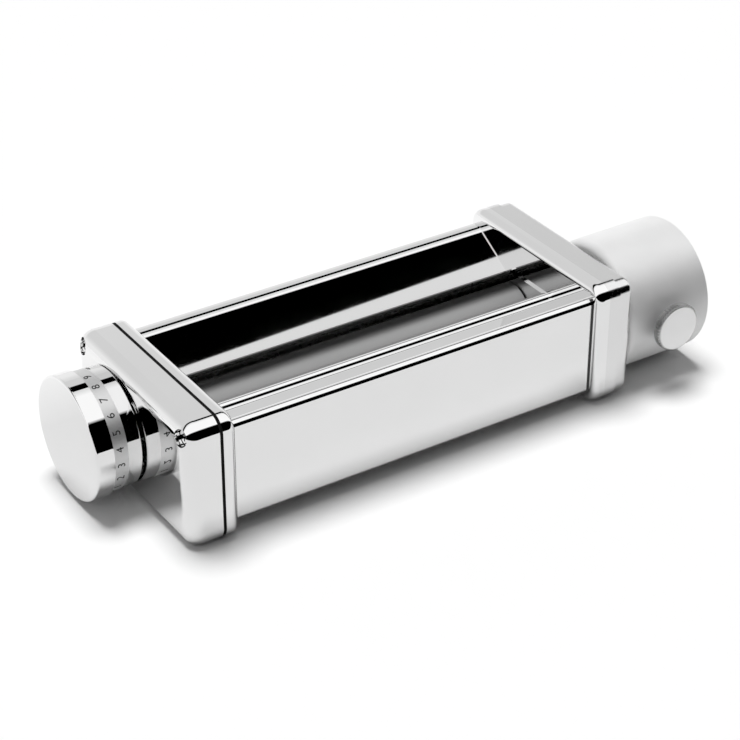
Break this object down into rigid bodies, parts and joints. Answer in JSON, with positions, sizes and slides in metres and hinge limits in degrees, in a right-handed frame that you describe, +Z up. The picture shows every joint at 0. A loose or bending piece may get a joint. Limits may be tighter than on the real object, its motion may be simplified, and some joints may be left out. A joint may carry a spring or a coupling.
{
  "type": "pasta roller machine",
  "caption": "Stand-mixer pasta roller: chromed box body with sloping feed guides over paired rollers, thickness dial at one end and a round drive hub with a thumbscrew at the other.",
  "frame": {"origin": "on the table, under the middle of the overall box", "axes": "+X along the rollers from the dial to the drive hub, +Y to the rear (the long feed guide), +Z up"},
  "size_m": [0.2408, 0.0854, 0.0509],
  "materials": {
    "chrome": "mirror polished chrome plating",
    "polished_steel": "polished stainless steel",
    "roller_steel": "fine satin ground",
    "steel": "plain machined",
    "bronze": "plain bearing bronze",
    "satin_aluminium": "matte silver",
    "block_alloy": "die cast",
    "gear_nylon": "moulded nylon",
    "gasket_rubber": "black rubber"
  },
  "bodies": {
    "base": {"front_panel": "chrome", "rear_panel": "chrome", "hub_end_flange": "chrome", "dial_end_flange": "chrome", "hub_end_side_plate": "polished_steel", "dial_end_side_plate": "polished_steel", "tie_rods": "steel", "hub_end_tie_screws": "steel", "dial_end_tie_screws": "steel", "hub_end_front_bush": "bronze", "dial_end_front_bush": "bronze", "front_scraper": "gear_nylon", "adjuster_bush": "bronze", "lock_pin": "steel", "cover_gasket": "gasket_rubber", "dial_end_cover": "chrome", "dial_end_cover_screws": "steel", "hub_end_cover": "chrome", "hub_end_cover_screws": "steel", "drive_hub": "satin_aluminium", "hub_screws": "steel", "hub_bush": "bronze", "hub_end_return_spring": "steel", "dial_end_return_spring": "steel"},
    "drive": {"front_roller": "roller_steel", "front_gear": "gear_nylon", "drive_coupler": "steel", "coupler_pin": "steel"},
    "carriage": {"hub_end_slide_block": "block_alloy", "dial_end_slide_block": "block_alloy", "hub_end_slide_bush": "bronze", "dial_end_slide_bush": "bronze", "carriage_rod": "steel", "rear_scraper": "gear_nylon", "cam_follower": "steel"},
    "idler": {"rear_roller": "roller_steel", "rear_gear": "gear_nylon"},
    "adjuster": {"adjuster_shaft": "steel", "adjuster_cam": "steel", "knob_washer": "steel", "knob_screw": "steel", "knob_spring": "steel"},
    "knob": {"dial": "polished_steel", "knob_cap": "chrome"},
    "pad": {"clamp_pad": "bronze"},
    "clamp_screw": {"thumbscrew": "satin_aluminium"}
  },
  "joints": [
    {"name": "drive_spin", "type": "hinge", "parent": "base", "child": "drive", "pos_m": [-0.00802, -0.01161, 0.0255], "axis": [1, 0, 0], "continuous": true},
    {"name": "dial_turn", "type": "hinge", "parent": "base", "child": "adjuster", "pos_m": [-0.10802, 0.01439, 0.0243], "axis": [1, 0, 0], "range_deg": [-48, 96]},
    {"name": "carriage_slide", "type": "slide", "parent": "base", "child": "carriage", "axis": [0, 1, 0], "range_m": [-0.00248, 0.00124], "deforming": ["hub_end_return_spring", "dial_end_return_spring"]},
    {"name": "idler_spin", "type": "hinge", "parent": "carriage", "child": "idler", "pos_m": [-0.00802, 0.01101, 0.0195], "axis": [1, 0, 0], "continuous": true},
    {"name": "knob_pull", "type": "slide", "parent": "adjuster", "child": "knob", "axis": [-1, 0, 0], "range_m": [0, 0.003], "stiffness_N_per_m": 1000, "springref_m": -0.004, "deforming": ["knob_spring"]},
    {"name": "pad_slide", "type": "slide", "parent": "base", "child": "pad", "axis": [0, 1, 0], "range_m": [-0.0015, 0.0022]},
    {"name": "thumbscrew_turn", "type": "hinge", "parent": "pad", "child": "clamp_screw", "pos_m": [0.10107, -0.03661, 0.0255], "axis": [0, 1, 0], "range_deg": [-540.1, 792.1]}
  ],
  "couplings": [
    {"joint": "idler_spin", "follows": "drive_spin", "ratio": -1},
    {"joint": "dial_turn", "follows": "carriage_slide", "rad_per_m": -674.79},
    {"joint": "thumbscrew_turn", "follows": "pad_slide", "rad_per_m": 6283.2}
  ]
}
